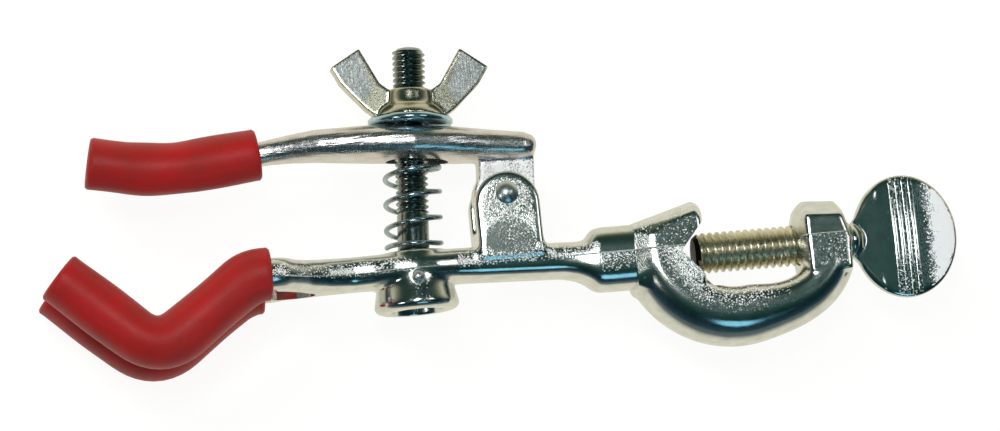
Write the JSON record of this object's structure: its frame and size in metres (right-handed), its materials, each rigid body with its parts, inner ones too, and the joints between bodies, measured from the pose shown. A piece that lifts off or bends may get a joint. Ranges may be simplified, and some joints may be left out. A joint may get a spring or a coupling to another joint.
{
  "type": "boss head clamp",
  "caption": "Retort-stand clamp: a screw boss head grips an upright rod, and hinged rubber-sleeved jaws are drawn together by a wing nut on a swing bolt.",
  "frame": {"origin": "axis of a 12 mm rod seated in the V notch of the boss head, half way through the head's depth", "axes": "+X along the arm from the jaws to the thumb screw, +Y the way the jaws open, +Z along the gripped rod"},
  "size_m": [0.1791, 0.0638, 0.0298],
  "materials": {
    "cast_chrome": "plated casting, bright with rough cast patches",
    "forged_jaw": "plated and polished along its length",
    "bright_steel": "turned and plated",
    "screw_steel": "nickel plated thread, slightly yellow",
    "washer_zinc": "zinc plated, bluish",
    "nut_nickel": "plated, with blasted flats on the wings",
    "thumb_nickel": "plated casting with ribs",
    "spring_steel": "drawn wire",
    "red_rubber": "matte moulded tube"
  },
  "bodies": {
    "lower_jaw": {"lower_jaw": "cast_chrome", "boss_head": "cast_chrome", "hinge_pin": "bright_steel", "bolt_pin": "bright_steel", "lower_sleeve_front": "red_rubber", "lower_sleeve_rear": "red_rubber", "spring": "spring_steel"},
    "upper_jaw": {"upper_jaw": "forged_jaw", "upper_sleeve": "red_rubber"},
    "swing_bolt": {"swing_bolt": "bright_steel"},
    "washer": {"washer": "washer_zinc"},
    "wing_nut": {"wing_nut": "nut_nickel"},
    "clamp_screw": {"clamp_screw": "screw_steel"},
    "thumb_head": {"thumb_head": "thumb_nickel"}
  },
  "joints": [
    {"name": "jaw_hinge", "type": "hinge", "parent": "lower_jaw", "child": "upper_jaw", "pos_m": [-0.04033, 0.0142, 0], "axis": [0, 0, -1], "range_deg": [-8, 16], "deforming": ["spring"]},
    {"name": "bolt_swing", "type": "hinge", "parent": "lower_jaw", "child": "swing_bolt", "pos_m": [-0.05906, -0.00057, 0], "axis": [0, 0, -1], "range_deg": [-6, 12]},
    {"name": "washer_slide", "type": "slide", "parent": "swing_bolt", "child": "washer", "axis": [0.0732, 0.9973, 0], "range_m": [-0.00245, 0.00489]},
    {"name": "wing_nut_spin", "type": "hinge", "parent": "washer", "child": "wing_nut", "pos_m": [-0.05679, 0.03035, 0], "axis": [0.0732, 0.9973, 0], "range_deg": [-800, 1600]},
    {"name": "screw_slide", "type": "slide", "parent": "lower_jaw", "child": "clamp_screw", "axis": [1, 0, 0], "range_m": [-0.0002, 0.022]},
    {"name": "thumb_spin", "type": "hinge", "parent": "clamp_screw", "child": "thumb_head", "pos_m": [0.03, 0, 0], "axis": [1, 0, 0], "range_deg": [0, 5400]}
  ],
  "couplings": [
    {"joint": "washer_slide", "follows": "wing_nut_spin", "m_per_rad": 0.00017507},
    {"joint": "jaw_hinge", "follows": "wing_nut_spin", "ratio": 0.01},
    {"joint": "bolt_swing", "follows": "wing_nut_spin", "ratio": 0.0075},
    {"joint": "screw_slide", "follows": "thumb_spin", "m_per_rad": 0.00022457}
  ]
}
